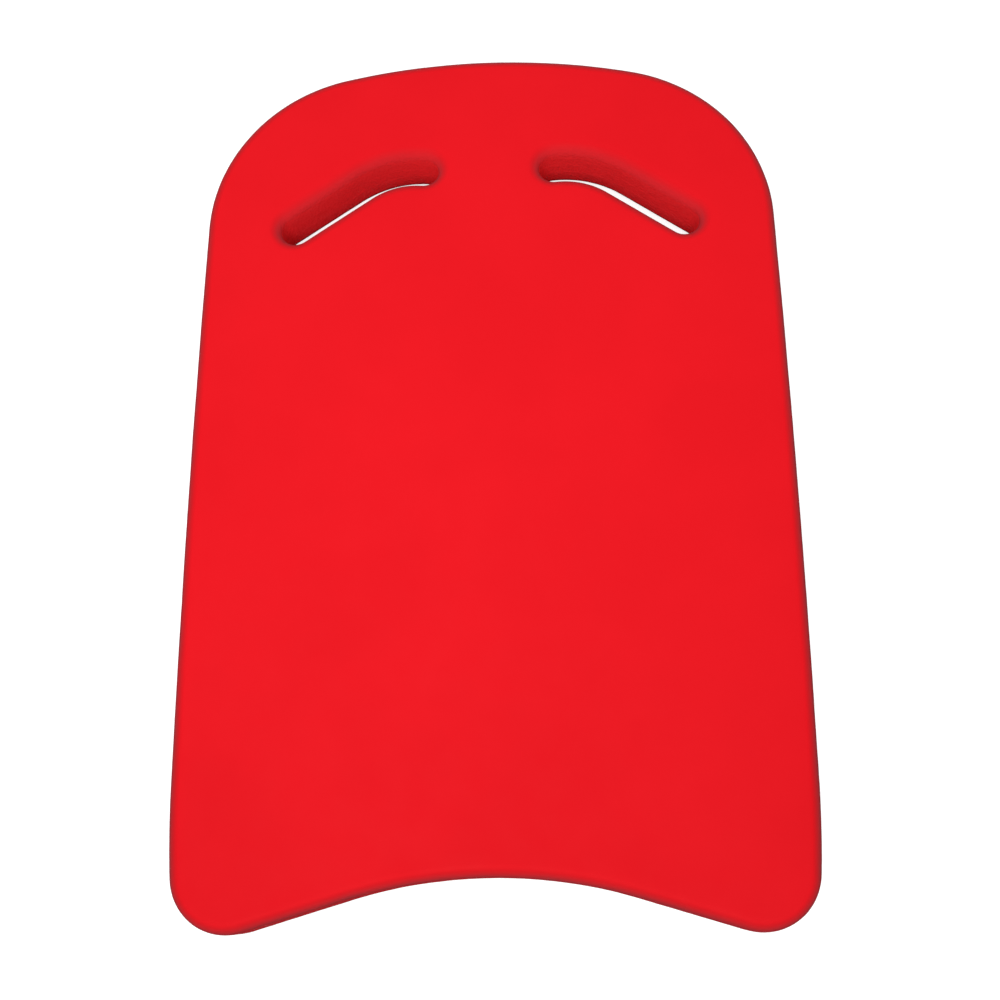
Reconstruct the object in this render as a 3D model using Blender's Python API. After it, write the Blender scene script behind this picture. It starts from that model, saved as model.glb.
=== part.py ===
"""Swim kickboard of laminated closed-cell foam, with two hand slots and a hollow tail.

Five foam sheets lie on each other: a skin below, three core sheets and a skin above. One outline
and one pair of slots are cut through all of them, and the edges of both faces are rounded over.

+Z is up through the deck, +Y runs to the nose and +X to the right. The origin is the middle of the
underside of the board's bounding box, so the board rests on Z = 0.
"""

import math

import bmesh
import bpy

# The whole board, in metres.
LENGTH = 0.450
WIDTH = 0.300
THICKNESS = 0.034
ROUND_OVER = 0.006

# The outline, from the nose round to the tail. Each stretch runs into the next with no corner.
# A heading is the way the outline runs, clockwise from +X.
NOSE_RADIUS = 0.350
SHOULDER_RADIUS = 0.091
SIDE_RADIUS = 9.000
SIDE_START_HEADING = math.radians(88.8)
HAUNCH_RADIUS = 0.500
HAUNCH_END_HEADING = math.radians(95.3)
TAIL_CORNER_RADIUS = 0.027
TAIL_FLANK_SLOPE = math.radians(16.5)
TAIL_FLANK_LENGTH = 0.046

# Each hand slot follows a centre line: an arc out from the inner end, and then a straight run.
SLOT_WIDTH = 0.0155
SLOT_START_X = 0.0345
SLOT_START_FROM_NOSE = 0.0662
SLOT_START_HEADING = math.radians(-5.5)
SLOT_BEND_RADIUS = 0.0480
SLOT_BEND = math.radians(40.3)
SLOT_STRAIGHT = 0.0425

# The foam sheets. What joins them is a film, and the gap between two sheets stands for it.
SKIN_THICKNESS = 0.007
CORE_SHEETS = ("lower_core_sheet", "middle_core_sheet", "upper_core_sheet")
GLUE_GAP = 0.0003

# How finely curves are drawn.
CHORD_ERROR = 0.00005
ROUND_OVER_STEPS = 6

# Colours are linear, with each foam's roughness.
SKIN_LOOK = ((0.84, 0.012, 0.019, 1.0), 0.55)
CORE_LOOK = ((0.62, 0.010, 0.016, 1.0), 0.85)


def arc(start, radius, turn):
    """Points along an arc from start, as (x, y, heading). A left turn has a negative radius."""
    step_turn = 2 * math.acos(1 - CHORD_ERROR / abs(radius))
    steps = math.ceil(abs(turn) / step_turn)
    x, y, heading = start
    centre_x = x - radius * math.sin(heading)
    centre_y = y - radius * math.cos(heading)
    points = []
    for step in range(1, steps + 1):
        angle = heading + math.copysign(turn, radius) * step / steps
        points.append(
            (centre_x + radius * math.sin(angle), centre_y + radius * math.cos(angle), angle)
        )
    return points


def straight(start, length):
    """The point at the end of a straight run from start."""
    x, y, heading = start
    return (x + length * math.cos(heading), y - length * math.sin(heading), heading)


def half_outline():
    """The right half of the outline as (x, y, heading), from the nose's middle to the tail's."""
    # The nose turns until the shoulder and the side reach out to half the board's width.
    side_reach = SIDE_RADIUS * (1 - math.sin(SIDE_START_HEADING))
    shoulder_reach = SHOULDER_RADIUS * math.sin(SIDE_START_HEADING)
    nose_reach = WIDTH / 2 - side_reach - shoulder_reach
    nose_turn = math.asin(nose_reach / (NOSE_RADIUS - SHOULDER_RADIUS))

    # The side runs until the tail corner's lowest point is the board's length from the nose.
    nose_drop = NOSE_RADIUS * (1 - math.cos(nose_turn))
    shoulder_drop = SHOULDER_RADIUS * (math.cos(nose_turn) - math.cos(SIDE_START_HEADING))
    corner_drop = TAIL_CORNER_RADIUS * (1 + math.cos(HAUNCH_END_HEADING))
    side_drop = LENGTH - nose_drop - shoulder_drop - corner_drop
    side_cosine = SIDE_RADIUS * math.cos(SIDE_START_HEADING) - side_drop
    side_cosine -= HAUNCH_RADIUS * math.cos(HAUNCH_END_HEADING)
    side_end_heading = math.acos(side_cosine / (SIDE_RADIUS - HAUNCH_RADIUS))

    outline = [(0.0, LENGTH / 2, 0.0)]
    outline += arc(outline[-1], NOSE_RADIUS, nose_turn)
    outline += arc(outline[-1], SHOULDER_RADIUS, SIDE_START_HEADING - nose_turn)
    # A point lies where the side is widest, and one where the tail corner is lowest.
    outline += arc(outline[-1], SIDE_RADIUS, math.pi / 2 - SIDE_START_HEADING)
    outline += arc(outline[-1], SIDE_RADIUS, side_end_heading - math.pi / 2)
    outline += arc(outline[-1], HAUNCH_RADIUS, HAUNCH_END_HEADING - side_end_heading)
    outline += arc(outline[-1], TAIL_CORNER_RADIUS, math.pi - HAUNCH_END_HEADING)
    outline += arc(outline[-1], TAIL_CORNER_RADIUS, TAIL_FLANK_SLOPE)
    outline.append(straight(outline[-1], TAIL_FLANK_LENGTH))

    # The hollow of the tail is one arc with its middle on the centre line.
    hollow_radius = outline[-1][0] / math.sin(TAIL_FLANK_SLOPE)
    outline += arc(outline[-1], -hollow_radius, TAIL_FLANK_SLOPE)
    return outline


def slot_edge():
    """The right slot's closed edge as (x, y, heading), round from the nose side of its inner end."""
    half_width = SLOT_WIDTH / 2
    inner_y = LENGTH / 2 - SLOT_START_FROM_NOSE
    start_x = SLOT_START_X + half_width * math.sin(SLOT_START_HEADING)
    start_y = inner_y + half_width * math.cos(SLOT_START_HEADING)
    edge = [(start_x, start_y, SLOT_START_HEADING)]
    edge += arc(edge[-1], SLOT_BEND_RADIUS + half_width, SLOT_BEND)
    edge.append(straight(edge[-1], SLOT_STRAIGHT))
    edge += arc(edge[-1], half_width, math.pi)
    edge.append(straight(edge[-1], SLOT_STRAIGHT))
    edge += arc(edge[-1], half_width - SLOT_BEND_RADIUS, SLOT_BEND)
    edge += arc(edge[-1], half_width, math.pi)[:-1]
    return edge


def moved_out(edge, distance):
    """The points of an edge, as (x, y), moved by distance to the left of the way it runs."""
    points = []
    for x, y, heading in edge:
        points.append((x + distance * math.sin(heading), y + distance * math.cos(heading)))
    return points


def board_loop(recess):
    """The closed outline of the board, moved in by recess."""
    right = moved_out(half_outline(), -recess)
    left = [(-x, y) for x, y in reversed(right[1:-1])]
    return right + left


def right_slot_loop(recess):
    """The closed edge of the right slot, widened by recess."""
    return moved_out(slot_edge(), recess)


def left_slot_loop(recess):
    """The closed edge of the left slot, widened by recess."""
    return [(-x, y) for x, y in right_slot_loop(recess)]


def square_levels(low, high):
    """The levels of a sheet with a straight edge, as (z, recess)."""
    return [(low, 0.0), (high, 0.0)]


def rounded_levels(inner, outer):
    """The levels of a skin from its inner face to its outer one, which has a round edge."""
    direction = 1 if outer > inner else -1
    levels = [(inner, 0.0)]
    for step in range(ROUND_OVER_STEPS + 1):
        angle = math.pi / 2 * step / ROUND_OVER_STEPS
        z = outer - direction * ROUND_OVER * (1 - math.sin(angle))
        levels.append((z, ROUND_OVER * (1 - math.cos(angle))))
    return levels


def foam(name, look):
    """A foam's material."""
    colour, roughness = look
    material = bpy.data.materials.new(name)
    material.use_nodes = True
    shader = material.node_tree.nodes["Principled BSDF"]
    shader.inputs["Base Color"].default_value = colour
    shader.inputs["Roughness"].default_value = roughness
    shader.inputs["Metallic"].default_value = 0.0
    material.diffuse_color = colour
    return material


def add_sheet(name, levels, look, parent):
    """One foam sheet: walls between its levels, and a flat face with two slots at each end."""
    bm = bmesh.new()
    end_rings = []
    for loop in (board_loop, right_slot_loop, left_slot_loop):
        rings = []
        for z, recess in levels:
            rings.append([bm.verts.new((x, y, z)) for x, y in loop(recess)])
        for lower, upper in zip(rings, rings[1:]):
            for i in range(len(lower)):
                j = (i + 1) % len(lower)
                bm.faces.new((lower[i], lower[j], upper[j], upper[i]))
        end_rings.append((rings[0], rings[-1]))

    for end in (0, 1):
        edges = []
        for rings in end_rings:
            ring = rings[end]
            edges += [bm.edges.get((ring[i - 1], ring[i])) for i in range(len(ring))]
        bmesh.ops.triangle_fill(bm, use_beauty=True, use_dissolve=False, edges=edges)
    bmesh.ops.recalc_face_normals(bm, faces=bm.faces)

    mesh = bpy.data.meshes.new(name)
    bm.to_mesh(mesh)
    bm.free()
    mesh.shade_smooth()
    mesh.set_sharp_from_angle(angle=math.radians(30))
    mesh.materials.append(foam(name + "_foam", look))
    sheet = bpy.data.objects.new(name, mesh)
    sheet.parent = parent
    bpy.context.scene.collection.objects.link(sheet)
    return sheet


def build():
    for old in list(bpy.data.objects):
        bpy.data.objects.remove(old, do_unlink=True)

    board = bpy.data.objects.new("kickboard", None)
    bpy.context.scene.collection.objects.link(board)

    half_gap = GLUE_GAP / 2
    core_bottom = SKIN_THICKNESS
    core_top = THICKNESS - SKIN_THICKNESS
    core_thickness = (core_top - core_bottom) / len(CORE_SHEETS)

    add_sheet("bottom_skin", rounded_levels(core_bottom - half_gap, 0.0), SKIN_LOOK, board)
    for number, name in enumerate(CORE_SHEETS):
        low = core_bottom + number * core_thickness
        levels = square_levels(low + half_gap, low + core_thickness - half_gap)
        add_sheet(name, levels, CORE_LOOK, board)
    add_sheet("deck_skin", rounded_levels(core_top + half_gap, THICKNESS), SKIN_LOOK, board)


build()
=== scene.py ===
import math

import bmesh
import bpy
import numpy as np
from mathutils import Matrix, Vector, geometry, noise


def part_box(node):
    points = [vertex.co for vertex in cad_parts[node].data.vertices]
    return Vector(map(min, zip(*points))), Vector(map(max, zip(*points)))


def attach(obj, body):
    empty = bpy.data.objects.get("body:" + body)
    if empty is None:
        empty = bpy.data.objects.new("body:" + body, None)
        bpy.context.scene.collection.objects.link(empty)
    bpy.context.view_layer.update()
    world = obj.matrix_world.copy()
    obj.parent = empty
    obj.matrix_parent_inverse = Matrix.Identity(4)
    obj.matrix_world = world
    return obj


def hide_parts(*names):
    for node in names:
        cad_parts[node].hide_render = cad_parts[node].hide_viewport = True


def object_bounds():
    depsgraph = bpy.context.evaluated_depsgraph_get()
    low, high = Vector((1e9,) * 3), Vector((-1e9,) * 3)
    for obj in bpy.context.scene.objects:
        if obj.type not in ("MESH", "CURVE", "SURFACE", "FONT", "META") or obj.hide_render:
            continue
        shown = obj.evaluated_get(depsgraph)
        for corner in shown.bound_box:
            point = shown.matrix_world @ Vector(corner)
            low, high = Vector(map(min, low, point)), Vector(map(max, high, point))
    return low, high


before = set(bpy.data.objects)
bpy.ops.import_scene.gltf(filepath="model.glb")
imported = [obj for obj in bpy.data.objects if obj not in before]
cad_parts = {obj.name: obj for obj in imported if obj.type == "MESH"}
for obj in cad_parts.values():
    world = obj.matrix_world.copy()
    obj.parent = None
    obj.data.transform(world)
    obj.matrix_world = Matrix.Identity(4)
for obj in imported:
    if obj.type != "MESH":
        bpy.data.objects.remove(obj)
cad_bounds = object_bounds()

# A swim kickboard of five laminated foam sheets. Every sheet is remade here as a fine mesh in the
# place of its CAD solid: rounded or lipped edges, slightly uneven cut walls and soft flat faces.
# Lengths are in metres. The frame gives the board's size and each sheet's faces.
BOARD_LOW, BOARD_HIGH = cad_bounds
LENGTH = BOARD_HIGH.y - BOARD_LOW.y
WIDTH = BOARD_HIGH.x - BOARD_LOW.x
TOP = BOARD_HIGH.z

# The outline's arcs, as the CAD has them. A heading is the way the outline runs, clockwise from +X.
NOSE_RADIUS = 0.350
SHOULDER_RADIUS = 0.091
SIDE_RADIUS = 9.000
SIDE_START_HEADING = math.radians(88.8)
HAUNCH_RADIUS = 0.500
HAUNCH_END_HEADING = math.radians(95.3)
TAIL_CORNER_RADIUS = 0.027
TAIL_FLANK_SLOPE = math.radians(16.5)
TAIL_FLANK_LENGTH = 0.046
SLOT_WIDTH = 0.0155
SLOT_START_X = 0.0345
SLOT_START_FROM_NOSE = 0.0662
SLOT_START_HEADING = math.radians(-5.5)
SLOT_BEND_RADIUS = 0.0480
SLOT_BEND = math.radians(40.3)
SLOT_STRAIGHT = 0.0425
ROUND_OVER = 0.006

# Mesh fineness.
EDGE_SPACING = 0.0020
SLOT_SPACING = 0.0011
FACE_SPACING = 0.0055
HIDDEN_FACE_SPACING = 0.016
# A face's points keep this share of their spacing away from its edges.
EDGE_CLEARANCE = 0.6
LARGEST_STEP_TURN = math.radians(6)
ROUND_OVER_STEPS = 12
WALL_STEP = 0.0008

# Faces are triangulated in millimetres.
MM_PER_M = 1000
MERGE_DISTANCE_MM = 1e-5

# What the cutting and the laminating leave: a small lip where two sheets meet, walls that wander
# a little, and faces that are not quite flat.
LIP = 0.00008
LIP_STEPS = 3
JOINT_GAP = 0.00002
WALL_WANDER = 0.00013
WANDER_LONG_WAVE = 0.030
WANDER_SHORT_WAVE = 0.005
WANDER_SHORT_SHARE = 0.5
FACE_WAVE = 0.00022
FACE_WAVE_LENGTH = 0.075
FACE_FINE_WAVES = 2.3
FACE_FINE_SHIFT = (3, 8)
FACE_BROAD_SHARE = 0.7
FACE_FINE_SHARE = 0.3
FACE_EDGE_CALM = 0.012
# Each sheet takes its own level of the noise, this far above the last, so no two faces are alike.
FACE_NOISE_STEP = 5.7

# Painted shade on the round-overs, darker where they face the nose than the tail: where across
# them it starts and where it is full, how strong it is there, and how strong on the wall beyond
# them. A round-over runs from 0 at the face to 1 at the wall.
BOARD_TAILWARD_PAINTED_SHADE = (0.20, 0.74, 0.95, 0.35)
BOARD_NOSEWARD_PAINTED_SHADE = (0.00, 0.45, 1.10, 0.05)
SLOT_TAILWARD_PAINTED_SHADE = (0.00, 0.50, 0.40, 0.00)
SLOT_NOSEWARD_PAINTED_SHADE = (0.04, 0.50, 1.00, 0.00)
WALL_PAINTED_SHADE_START = 0.80


# ---------------------------------------------------------------------------------------------
# Outlines
# ---------------------------------------------------------------------------------------------


def arc(start, radius, turn, spacing):
    """Points along an arc from start, as (x, y, heading). A left turn has a negative radius."""
    steps = math.ceil(max(abs(radius) * turn / spacing, turn / LARGEST_STEP_TURN))
    x, y, heading = start
    centre_x = x - radius * math.sin(heading)
    centre_y = y - radius * math.cos(heading)
    points = []
    for step in range(1, steps + 1):
        angle = heading + math.copysign(turn, radius) * step / steps
        points.append(
            (centre_x + radius * math.sin(angle), centre_y + radius * math.cos(angle), angle)
        )
    return points


def straight(start, length, spacing):
    """Points along a straight run from start, as (x, y, heading)."""
    steps = math.ceil(length / spacing)
    x, y, heading = start
    points = []
    for step in range(1, steps + 1):
        along = length * step / steps
        points.append((x + along * math.cos(heading), y - along * math.sin(heading), heading))
    return points


def mirrored(edge):
    """The same edge on the other side of the board, run through in the other order."""
    return [(-x, y, -heading) for x, y, heading in reversed(edge)]


def board_edge(spacing):
    """The board's closed outline as (x, y, heading), clockwise from the middle of the nose."""
    side_reach = SIDE_RADIUS * (1 - math.sin(SIDE_START_HEADING))
    shoulder_reach = SHOULDER_RADIUS * math.sin(SIDE_START_HEADING)
    nose_reach = WIDTH / 2 - side_reach - shoulder_reach
    nose_turn = math.asin(nose_reach / (NOSE_RADIUS - SHOULDER_RADIUS))

    nose_drop = NOSE_RADIUS * (1 - math.cos(nose_turn))
    shoulder_drop = SHOULDER_RADIUS * (math.cos(nose_turn) - math.cos(SIDE_START_HEADING))
    corner_drop = TAIL_CORNER_RADIUS * (1 + math.cos(HAUNCH_END_HEADING))
    side_drop = LENGTH - nose_drop - shoulder_drop - corner_drop
    side_cosine = SIDE_RADIUS * math.cos(SIDE_START_HEADING) - side_drop
    side_cosine -= HAUNCH_RADIUS * math.cos(HAUNCH_END_HEADING)
    side_end = math.acos(side_cosine / (SIDE_RADIUS - HAUNCH_RADIUS))

    edge = [(0.0, BOARD_HIGH.y, 0.0)]
    for radius, heading in (
        (NOSE_RADIUS, nose_turn),
        (SHOULDER_RADIUS, SIDE_START_HEADING),
        (SIDE_RADIUS, side_end),
        (HAUNCH_RADIUS, HAUNCH_END_HEADING),
        (TAIL_CORNER_RADIUS, math.pi + TAIL_FLANK_SLOPE),
    ):
        edge += arc(edge[-1], radius, heading - edge[-1][2], spacing)
    edge += straight(edge[-1], TAIL_FLANK_LENGTH, spacing)
    hollow_radius = edge[-1][0] / math.sin(TAIL_FLANK_SLOPE)
    edge += arc(edge[-1], -hollow_radius, TAIL_FLANK_SLOPE, spacing)
    return edge + mirrored(edge[1:-1])


def slot_edge(spacing):
    """The right slot's closed edge as (x, y, heading), clockwise from its inner end's nose side."""
    half_width = SLOT_WIDTH / 2
    start_x = SLOT_START_X + half_width * math.sin(SLOT_START_HEADING)
    start_y = BOARD_HIGH.y - SLOT_START_FROM_NOSE + half_width * math.cos(SLOT_START_HEADING)
    edge = [(start_x, start_y, SLOT_START_HEADING)]
    edge += arc(edge[-1], SLOT_BEND_RADIUS + half_width, SLOT_BEND, spacing)
    edge += straight(edge[-1], SLOT_STRAIGHT, spacing)
    edge += arc(edge[-1], half_width, math.pi, spacing)
    edge += straight(edge[-1], SLOT_STRAIGHT, spacing)
    edge += arc(edge[-1], half_width - SLOT_BEND_RADIUS, SLOT_BEND, spacing)
    edge += arc(edge[-1], half_width, math.pi, spacing)
    return edge[:-1]


# Each edge with the side on which its foam lies, -1 to the right of the way it runs and 1 to the
# left, and its painted shade where it faces the tail and where it faces the nose.
EDGES = (
    (board_edge(EDGE_SPACING), -1, (BOARD_TAILWARD_PAINTED_SHADE, BOARD_NOSEWARD_PAINTED_SHADE)),
    (slot_edge(SLOT_SPACING), 1, (SLOT_TAILWARD_PAINTED_SHADE, SLOT_NOSEWARD_PAINTED_SHADE)),
    (mirrored(slot_edge(SLOT_SPACING)), 1, (SLOT_TAILWARD_PAINTED_SHADE, SLOT_NOSEWARD_PAINTED_SHADE)),
)


# ---------------------------------------------------------------------------------------------
# Sheets
# ---------------------------------------------------------------------------------------------


def share(value, low, high):
    """How far a value is from low to high, from 0 to 1."""
    return min(1.0, max(0.0, (value - low) / (high - low)))


def lip_rings(face_z, inward):
    """The small lip where a sheet meets the next, as (z, recess, cut), from the face inwards."""
    rings = []
    for step in range(LIP_STEPS + 1):
        angle = math.pi / 2 * step / LIP_STEPS
        z = face_z + inward * LIP * (1 - math.cos(angle))
        rings.append((z, LIP * (1 - math.sin(angle)), 1.0))
    return rings


def round_over_rings(face_z, inward):
    """The rounded edge of an outer face, as (z, recess, cut), from the face inwards."""
    rings = []
    for step in range(ROUND_OVER_STEPS + 1):
        angle = math.pi / 2 * step / ROUND_OVER_STEPS
        z = face_z + inward * ROUND_OVER * (1 - math.cos(angle))
        recess = ROUND_OVER * (1 - math.sin(angle))
        rings.append((z, recess, step / ROUND_OVER_STEPS))
    return rings


def wall_rings(low, high):
    """Rings up a straight wall between two others, as (z, recess, cut)."""
    steps = max(2, math.ceil((high - low) / WALL_STEP))
    return [(low + (high - low) * step / steps, 0.0, 1.0) for step in range(1, steps)]


def sheet_rings(low, high):
    """All rings of a sheet, from its lower face to its upper one."""
    lower_end = round_over_rings(low, 1) if low < LIP else lip_rings(low, 1)
    upper_end = round_over_rings(high, -1) if high > TOP - LIP else lip_rings(high, -1)
    wall = wall_rings(lower_end[-1][0], upper_end[-1][0])
    return lower_end + wall + upper_end[::-1]


def wander(x, y, z):
    """How far a cut wall lies from its true place. One cut goes through all the sheets."""
    long_wave = noise.noise(Vector((x, y, z)) / WANDER_LONG_WAVE)
    short_wave = noise.noise(Vector((x, y, z)) / WANDER_SHORT_WAVE)
    return WALL_WANDER * (long_wave + WANDER_SHORT_SHARE * short_wave)


def inside(points, ring):
    """Which of the points lie inside a closed ring."""
    x, y = points[:, 0][:, None], points[:, 1][:, None]
    x0, y0 = ring[:, 0], ring[:, 1]
    x1, y1 = np.roll(x0, -1), np.roll(y0, -1)
    spans = (y0 > y) != (y1 > y)
    rise = np.where(y1 == y0, 1.0, y1 - y0)
    left_of = x < x0 + (x1 - x0) * (y - y0) / rise
    return (spans & left_of).sum(1) % 2 == 1


def edge_distances(points, rings):
    """Each point's distance in plan to the nearest ring point."""
    edge = np.vstack(rings)
    nearest = np.full(len(points), np.inf)
    for x, y in edge:
        nearest = np.minimum(nearest, np.hypot(points[:, 0] - x, points[:, 1] - y))
    return nearest


def face_points(rings, spacing):
    """Points spread evenly over the foam inside the board's ring and outside the slots' rings."""
    row_height = spacing * math.sqrt(3) / 2
    points = []
    for row in range(math.ceil(LENGTH / row_height)):
        # Every other row is half a step along.
        first_x = BOARD_LOW.x + 0.5 * (row % 2) * spacing
        y = BOARD_LOW.y + (row + 0.5) * row_height
        for column in range(math.ceil(WIDTH / spacing) + 1):
            points.append((first_x + column * spacing, y))
    points = np.array(points)
    points = points[inside(points, rings[0])]
    for slot_ring in rings[1:]:
        points = points[~inside(points, slot_ring)]
    distances = edge_distances(points, rings)
    clear = distances > EDGE_CLEARANCE * spacing
    return points[clear], distances[clear]


def turns_clockwise(a, b, c):
    """Whether the way from a to b to c turns clockwise."""
    return (b.x - a.x) * (c.y - a.y) < (b.y - a.y) * (c.x - a.x)


def face_triangles(rings, points):
    """Triangles over a face, as triples of indices into its rings' points and then its points."""
    corners, edges, ring_numbers = [], [], []
    for number, ring in enumerate(rings):
        first = len(corners)
        corners += [Vector(MM_PER_M * p) for p in ring]
        edges += [(first + i, first + (i + 1) % len(ring)) for i in range(len(ring))]
        ring_numbers += [number] * len(ring)
    corners += [Vector(MM_PER_M * p) for p in points]
    ring_numbers += [None] * len(points)

    made = geometry.delaunay_2d_cdt(corners, edges, [], 0, MERGE_DISTANCE_MM)
    made_faces, origins = made[2], made[3]
    triangles = [[origins[i][0] for i in face] for face in made_faces]
    spots = np.vstack([*rings, points])
    centres = np.array([spots[triangle].mean(0) for triangle in triangles])
    in_foam = inside(centres, rings[0])
    for slot_ring in rings[1:]:
        in_foam &= ~inside(centres, slot_ring)

    kept = []
    for triangle, keep in zip(triangles, in_foam):
        touched = {ring_numbers[i] for i in triangle}
        if len(touched) == 1 and None not in touched:
            # All three corners lie on one ring, perhaps almost in line. Every ring runs
            # clockwise, so the way the corners turn tells which side of it they are on.
            inside_ring = turns_clockwise(*(corners[i] for i in sorted(triangle)))
            keep = inside_ring == (touched == {0})
        if keep:
            kept.append(triangle)
    return kept


def face_wave(x, y, sheet_number):
    """How far a face lies below its true plane, from 0 to 1."""
    level = FACE_NOISE_STEP * sheet_number
    spot = Vector((x, y, 0)) / FACE_WAVE_LENGTH
    broad = noise.noise(spot + Vector((0, 0, level)))
    fine = noise.noise(spot * FACE_FINE_WAVES + Vector((*FACE_FINE_SHIFT, level)))
    return share(0.5 + FACE_BROAD_SHARE * broad + FACE_FINE_SHARE * fine, 0.0, 1.0)


def add_face(bm, cut, ring_verts, z, inward, sheet_number, outer):
    """Closes one end of a sheet with an evenly meshed face."""
    rings = [np.array([v.co.xy for v in ring]) for ring in ring_verts]
    spacing = FACE_SPACING if outer else HIDDEN_FACE_SPACING
    points, distances = face_points(rings, spacing)
    verts = [v for ring in ring_verts for v in ring]
    for (x, y), distance in zip(points, distances):
        sink = 0.0
        if outer:
            # The waves fade in smoothly from the edge.
            calm = share(distance, 0.0, FACE_EDGE_CALM)
            sink = FACE_WAVE * face_wave(x, y, sheet_number) * calm * calm * (3 - 2 * calm)
        vert = bm.verts.new((x, y, z + inward * sink))
        vert[cut] = 0.0 if outer else 1.0
        verts.append(vert)
    for triangle in face_triangles(rings, points):
        bm.faces.new([verts[i] for i in triangle])


def painted_shade_at(cut_share, noseward, edge_painted_shade):
    """Painted shade on an edge at one place across it, facing the nose by a share from 0 to 1."""
    tailward_shade, noseward_shade = edge_painted_shade
    start, full, most, wall = (
        tail + (nose - tail) * noseward for tail, nose in zip(tailward_shade, noseward_shade)
    )
    rise = share(cut_share, start, full)
    return rise * (most + (wall - most) * share(cut_share, WALL_PAINTED_SHADE_START, 1.0))


def make_sheet(name, low, high, sheet_number):
    """A sheet's mesh: rings of its walls from face to face, and the two faces."""
    bm = bmesh.new()
    cut = bm.verts.layers.float.new("cut")
    painted_shade = bm.verts.layers.float.new("painted_shade")
    levels = sheet_rings(low, high)
    ends = ([], [])
    for edge, foam_side, edge_painted_shade in EDGES:
        rings = []
        for z, recess, cut_share in levels:
            ring = []
            for x, y, heading in edge:
                out = foam_side * (recess + wander(x, y, z) * cut_share)
                vert = bm.verts.new((x + out * math.sin(heading), y + out * math.cos(heading), z))
                vert[cut] = cut_share
                # The round-overs take painted shade, stronger where the edge faces the nose.
                noseward = (1 - foam_side * math.cos(heading)) / 2
                vert[painted_shade] = painted_shade_at(cut_share, noseward, edge_painted_shade)
                ring.append(vert)
            rings.append(ring)
        for lower, upper in zip(rings, rings[1:]):
            for i in range(len(lower)):
                bm.faces.new((lower[i - 1], lower[i], upper[i], upper[i - 1]))
        ends[0].append(rings[0])
        ends[1].append(rings[-1])
    add_face(bm, cut, ends[0], low, 1, sheet_number, outer=low < LIP)
    add_face(bm, cut, ends[1], high, -1, sheet_number, outer=high > TOP - LIP)
    bmesh.ops.recalc_face_normals(bm, faces=bm.faces)
    mesh = bpy.data.meshes.new(name)
    bm.to_mesh(mesh)
    bm.free()
    mesh.shade_smooth()
    sheet = bpy.data.objects.new(name, mesh)
    bpy.context.scene.collection.objects.link(sheet)
    return sheet


# ---------------------------------------------------------------------------------------------
# Foam
# ---------------------------------------------------------------------------------------------

# Linear colours: of the skin, of cut foam and the pits of its cells, and of the painted shade on
# the edges, first where it is faint and then where it is strongest.
SKIN_RED = (0.880, 0.0070, 0.0140, 1.0)
SKIN_RED_SHADE = (0.850, 0.0062, 0.0128, 1.0)
# Cut foam is lighter than the skin, its red raised further as painted light on the cut walls.
CUT_RED_WITH_PAINTED_LIGHT = (0.965, 0.0280, 0.0360, 1.0)
CELL_RED = (0.900, 0.0220, 0.0290, 1.0)
PAINTED_SHADE_RED = (0.420, 0.0060, 0.0100, 1.0)
PAINTED_SHADE_DULL_RED = (0.420, 0.0360, 0.0450, 1.0)

SPECULAR_LEVEL = 0.05

# The foam looks cut between these shares of the way round an edge.
CUT_START, CUT_END = 0.35, 0.85

# How large the cells are, in metres.
SKIN_CELL = 0.0011
CUT_CELL = 0.0014

# The noises: each one's size in metres, its detail and its roughness.
CLOUDS = (0.055, 3.0, 0.5)
PATCHES = (0.004, 3.0, 0.6)
UNEVEN_PAINTED_SHADE = (0.018, 3.0, 0.5)
SMEARS = (0.012, 4.0, 0.5)
SKIN_WAVES = (0.009, 1.0, 0.5)
CUT_GRAIN = (0.0006, 3.0, 0.7)

# How each noise and the cut cells' pits are used: the part of the range, and what the two ends of
# that part become. The smears give the skin's roughness.
CLOUD_SPREAD = (0.35, 0.65, 0.0, 1.0)
PIT_SPREAD = (0.12, 0.60, 1.0, 0.0)
PATCH_SPREAD = (0.35, 0.70, 0.1, 0.9)
UNEVEN_PAINTED_SHADE_SPREAD = (0.3, 0.7, 0.8, 1.0)
SMEAR_SPREAD = (0.3, 0.7, 0.50, 0.62)

CUT_ROUGHNESS = 0.88

# How high the relief is, in metres, and how strongly it shows.
SKIN_CELL_HEIGHT = 0.00003
SKIN_WAVE_HEIGHT = 0.00003
CUT_CELL_HEIGHT = 0.00035
CUT_GRAIN_HEIGHT = 0.00012
RELIEF_STRENGTH = 0.6


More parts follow.
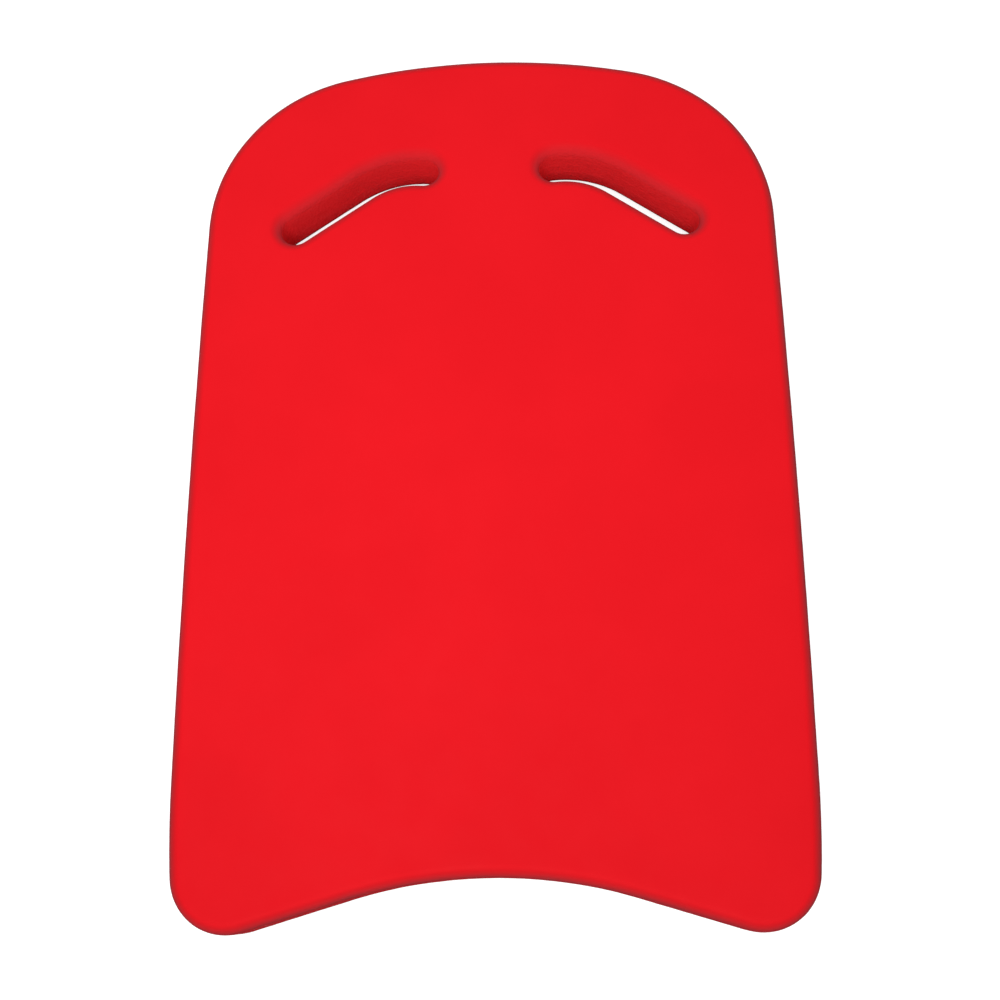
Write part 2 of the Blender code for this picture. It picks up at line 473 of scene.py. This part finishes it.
class Foam:
    """Builds one foam's material, node by node."""

    def __init__(self, name):
        self.material = bpy.data.materials.new(name)
        self.material.use_nodes = True
        self.nodes = self.material.node_tree.nodes
        self.links = self.material.node_tree.links
        self.shader = self.nodes["Principled BSDF"]
        self.place = self.add("ShaderNodeTexCoord").outputs["Object"]

    def add(self, kind, **settings):
        node = self.nodes.new(kind)
        for name, value in settings.items():
            setattr(node, name, value)
        return node

    def join(self, output, target):
        """Feeds a socket from an output, or sets it to a value."""
        if isinstance(output, bpy.types.NodeSocket):
            self.links.new(output, target)
        else:
            target.default_value = output

    def noise(self, size, detail, roughness):
        node = self.add("ShaderNodeTexNoise")
        self.join(self.place, node.inputs["Vector"])
        node.inputs["Scale"].default_value = 1 / size
        node.inputs["Detail"].default_value = detail
        node.inputs["Roughness"].default_value = roughness
        return node.outputs["Fac"]

    def cells(self, size):
        node = self.add("ShaderNodeTexVoronoi", feature="F1")
        self.join(self.place, node.inputs["Vector"])
        node.inputs["Scale"].default_value = 1 / size
        return node.outputs["Distance"]

    def maths(self, operation, first, second):
        node = self.add("ShaderNodeMath", operation=operation)
        self.join(first, node.inputs[0])
        self.join(second, node.inputs[1])
        return node.outputs[0]

    def spread(self, value, low, high, to_low, to_high):
        """value, moved from the range low to high into another one."""
        node = self.add("ShaderNodeMapRange")
        for number, setting in enumerate((value, low, high, to_low, to_high)):
            self.join(setting, node.inputs[number])
        return node.outputs[0]

    def blend(self, kind, amount, first, second):
        """Two numbers (FLOAT) or colours (RGBA), by an amount from the first to the second."""
        node = self.add("ShaderNodeMix", data_type=kind)
        ending = {"FLOAT": "Float", "RGBA": "Color"}[kind]
        sockets = {socket.identifier: socket for socket in node.inputs}
        self.join(amount, sockets["Factor_Float"])
        self.join(first, sockets["A_" + ending])
        self.join(second, sockets["B_" + ending])
        return next(o for o in node.outputs if o.identifier == "Result_" + ending)


def foam_material(name):
    """Red closed-cell foam: a smooth fine-celled skin, and open cut cells on cut walls."""
    foam = Foam(name)
    around = foam.add("ShaderNodeAttribute", attribute_name="cut").outputs["Fac"]
    painted_shade = foam.add("ShaderNodeAttribute", attribute_name="painted_shade").outputs["Fac"]
    cut = foam.spread(around, CUT_START, CUT_END, 0.0, 1.0)

    # Colour: broad faint clouds on the skin, and dark cell pits where the foam is cut.
    clouds = foam.spread(foam.noise(*CLOUDS), *CLOUD_SPREAD)
    skin_colour = foam.blend("RGBA", clouds, SKIN_RED, SKIN_RED_SHADE)
    pits = foam.spread(foam.cells(CUT_CELL), *PIT_SPREAD)
    patches = foam.spread(foam.noise(*PATCHES), *PATCH_SPREAD)
    pit_share = foam.maths("MULTIPLY", pits, patches)
    # The cut walls' red is partly painted light.
    cut_colour = foam.blend("RGBA", pit_share, CUT_RED_WITH_PAINTED_LIGHT, CELL_RED)
    colour = foam.blend("RGBA", cut, skin_colour, cut_colour)

    # Painted shade darkens the round-overs, unevenly along them.
    uneven_shade = foam.spread(foam.noise(*UNEVEN_PAINTED_SHADE), *UNEVEN_PAINTED_SHADE_SPREAD)
    painted_shade_amount = foam.maths("MULTIPLY", painted_shade, uneven_shade)
    painted_shade_colour = foam.blend("RGBA", painted_shade_amount, PAINTED_SHADE_RED, PAINTED_SHADE_DULL_RED)
    colour_with_painted_shade = foam.blend("RGBA", painted_shade_amount, colour, painted_shade_colour)
    foam.join(colour_with_painted_shade, foam.shader.inputs["Base Color"])

    # Gloss: the skin is satin and smeared, the cut foam is matte.
    skin_roughness = foam.spread(foam.noise(*SMEARS), *SMEAR_SPREAD)
    roughness = foam.blend("FLOAT", cut, skin_roughness, CUT_ROUGHNESS)
    foam.join(roughness, foam.shader.inputs["Roughness"])
    foam.shader.inputs["Specular IOR Level"].default_value = SPECULAR_LEVEL

    # Relief: faint skin cells over soft unevenness, and deeper open cells where it is cut.
    skin_cells = foam.maths("MULTIPLY", foam.cells(SKIN_CELL), SKIN_CELL_HEIGHT)
    skin_waves = foam.maths("MULTIPLY", foam.noise(*SKIN_WAVES), SKIN_WAVE_HEIGHT)
    skin_relief = foam.maths("ADD", skin_cells, skin_waves)
    cut_cells = foam.maths("MULTIPLY", foam.cells(CUT_CELL), CUT_CELL_HEIGHT)
    cut_grain = foam.maths("MULTIPLY", foam.noise(*CUT_GRAIN), CUT_GRAIN_HEIGHT)
    cut_relief = foam.maths("ADD", cut_cells, cut_grain)
    relief = foam.blend("FLOAT", cut, skin_relief, cut_relief)
    bump = foam.add("ShaderNodeBump")
    bump.inputs["Strength"].default_value = RELIEF_STRENGTH
    bump.inputs["Distance"].default_value = 1.0
    foam.join(relief, bump.inputs["Height"])
    foam.join(bump.outputs["Normal"], foam.shader.inputs["Normal"])
    return foam.material


# ---------------------------------------------------------------------------------------------
# Stage, light and camera
# ---------------------------------------------------------------------------------------------

# The floor is flat out to its radius, and then sweeps up to its wall's height.
FLOOR_RADIUS = 2.2
FLOOR_RINGS = (0.0, 0.6, 1.3)
FLOOR_BELOW_BOARD = 0.0002
SWEEP_RADIUS = 0.9
SWEEP_HEIGHT = 2.6
SWEEP_STEPS = 16
AROUND_STEPS = 96
WELD_DISTANCE = 0.0001
FLOOR_GREY = (0.50, 0.50, 0.50, 1.0)
FLOOR_ROUGHNESS = 0.9
FLOOR_GLOW = 0.80
WHITE = (1.0, 1.0, 1.0, 1.0)


def make_stage():
    """A white floor that turns up into a round wall, far from the board."""
    profile = [(radius, 0.0) for radius in FLOOR_RINGS]
    for step in range(SWEEP_STEPS + 1):
        angle = math.pi / 2 * step / SWEEP_STEPS
        profile.append(
            (FLOOR_RADIUS + SWEEP_RADIUS * math.sin(angle), SWEEP_RADIUS * (1 - math.cos(angle)))
        )
    profile.append((FLOOR_RADIUS + SWEEP_RADIUS, SWEEP_HEIGHT))
    bm = bmesh.new()
    line = [bm.verts.new((radius, 0.0, z)) for radius, z in profile]
    edges = [bm.edges.new(pair) for pair in zip(line, line[1:])]
    bmesh.ops.spin(
        bm,
        geom=line + edges,
        cent=(0, 0, 0),
        axis=(0, 0, 1),
        angle=math.tau,
        steps=AROUND_STEPS,
        use_merge=True,
    )
    bmesh.ops.remove_doubles(bm, verts=bm.verts, dist=WELD_DISTANCE)
    bmesh.ops.recalc_face_normals(bm, faces=bm.faces)
    mesh = bpy.data.meshes.new("floor")
    bm.to_mesh(mesh)
    bm.free()
    mesh.shade_smooth()
    floor = bpy.data.objects.new("floor", mesh)
    bpy.context.scene.collection.objects.link(floor)
    floor.location.z = BOARD_LOW.z - FLOOR_BELOW_BOARD

    material = bpy.data.materials.new("light_table_white")
    material.use_nodes = True
    shader = material.node_tree.nodes["Principled BSDF"]
    shader.inputs["Base Color"].default_value = FLOOR_GREY
    shader.inputs["Roughness"].default_value = FLOOR_ROUGHNESS
    shader.inputs["Specular IOR Level"].default_value = 0.0
    shader.inputs["Emission Color"].default_value = WHITE
    shader.inputs["Emission Strength"].default_value = FLOOR_GLOW
    mesh.materials.append(material)
    # Only the lights and the sky light the board, and it throws no shadow on the floor's wall.
    floor.visible_diffuse = False
    floor.visible_shadow = False


# Each softbox: its name, place, aim, power in watts and spread.
SOFTBOX_SIZE = 0.7
SOFTBOXES = (
    ("left", (-0.25, 0.20, 1.40), (-0.07, 0.06, 0.0), 0.34, math.radians(44)),
    ("camera_side", (-0.09, -0.62, 1.32), (0.0, 0.12, 0.0), 1.62, math.radians(60)),
)

# The sky's strength, and how far up from the horizon it reaches its most, as a sine.
SKY_AT_HORIZON = 0.01
SKY_ABOVE = 0.38
SKY_RISE = 0.1


def add_softbox(name, place, aim, power, spread):
    """A square area light at a place, aimed at a point."""
    light = bpy.data.lights.new(name, "AREA")
    light.shape = "SQUARE"
    light.size = SOFTBOX_SIZE
    light.energy = power
    light.spread = spread
    lamp = bpy.data.objects.new(name, light)
    lamp.location = place
    lamp.rotation_euler = (Vector(aim) - Vector(place)).to_track_quat("-Z", "Y").to_euler()
    bpy.context.scene.collection.objects.link(lamp)


def make_light():
    """An even sky over the board, and two softboxes: one on the left and one near the camera."""
    for softbox in SOFTBOXES:
        add_softbox(*softbox)

    world = bpy.data.worlds.new("studio")
    world.use_nodes = True
    bpy.context.scene.world = world
    nodes, links = world.node_tree.nodes, world.node_tree.links
    background = nodes["Background"]
    place = nodes.new("ShaderNodeTexCoord")
    split = nodes.new("ShaderNodeSeparateXYZ")
    ramp = nodes.new("ShaderNodeMapRange")
    ramp.inputs["From Min"].default_value = 0.0
    ramp.inputs["From Max"].default_value = SKY_RISE
    ramp.inputs["To Min"].default_value = SKY_AT_HORIZON
    ramp.inputs["To Max"].default_value = SKY_ABOVE
    links.new(place.outputs["Generated"], split.inputs[0])
    links.new(split.outputs["Z"], ramp.inputs["Value"])
    links.new(ramp.outputs["Result"], background.inputs["Strength"])
    background.inputs["Color"].default_value = WHITE


# Where the camera stands over the board: right of the middle, and forward of the tail's tips.
CAMERA_RIGHT = 0.0311
CAMERA_FROM_TAIL = 0.0193
CAMERA_ABOVE_DECK = 0.6050

# How far it looks forward of straight down, to the right, and rolled over.
CAMERA_TILT = math.radians(16.662)
CAMERA_SWING = math.radians(-2.374)
CAMERA_ROLL = math.radians(-0.413)

# In millimetres.
CAMERA_LENS = 46.83
SENSOR_WIDTH = 36.0
CAMERA_CLIP_START = 0.01


def make_camera():
    """The camera at the photograph's place and angle."""
    data = bpy.data.cameras.new("camera")
    data.lens = CAMERA_LENS
    data.sensor_width = SENSOR_WIDTH
    data.clip_start = CAMERA_CLIP_START
    camera = bpy.data.objects.new("camera", data)
    camera.location = (CAMERA_RIGHT, BOARD_LOW.y + CAMERA_FROM_TAIL, TOP + CAMERA_ABOVE_DECK)
    level = math.cos(CAMERA_SWING)
    ahead = Vector(
        (math.sin(CAMERA_SWING), math.sin(CAMERA_TILT) * level, -math.cos(CAMERA_TILT) * level)
    )
    right = ahead.cross(Vector((0, 1, 0))).normalized()
    up = right.cross(ahead)
    across = right * math.cos(CAMERA_ROLL) + up * math.sin(CAMERA_ROLL)
    upward = up * math.cos(CAMERA_ROLL) - right * math.sin(CAMERA_ROLL)
    rotation = camera.rotation_euler.to_matrix()
    rotation.col[0] = across
    rotation.col[1] = upward
    rotation.col[2] = -ahead
    camera.rotation_euler = rotation.to_euler()
    bpy.context.scene.collection.objects.link(camera)
    bpy.context.scene.camera = camera


# ---------------------------------------------------------------------------------------------
# The board
# ---------------------------------------------------------------------------------------------

# Each CAD node from the floor up, the sheet that stands for it, and its slot.
SHEETS = (
    ("bottom_skin", "bottom_skin_foam", "foam_skin"),
    ("lower_core_sheet", "lower_core_foam", "foam_core"),
    ("middle_core_sheet", "middle_core_foam", "foam_core"),
    ("upper_core_sheet", "upper_core_foam", "foam_core"),
    ("deck_skin", "deck_skin_foam", "foam_skin"),
)


def make_board():
    """Every sheet, from half way through the joint below it to half way through the one above."""
    boxes = [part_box(node) for node, _, _ in SHEETS]
    joints = [(lower[1].z + upper[0].z) / 2 for lower, upper in zip(boxes, boxes[1:])]
    lows = [BOARD_LOW.z] + [z + JOINT_GAP / 2 for z in joints]
    highs = [z - JOINT_GAP / 2 for z in joints] + [TOP]
    for number, (node, name, slot) in enumerate(SHEETS):
        sheet = make_sheet(name, lows[number], highs[number], number)
        sheet.data.materials.append(foam_material(name + "_red"))
        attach(sheet, "root")
        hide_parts(node)


make_camera()
make_stage()
make_light()
make_board()
bpy.context.scene.view_settings.view_transform = "Standard"
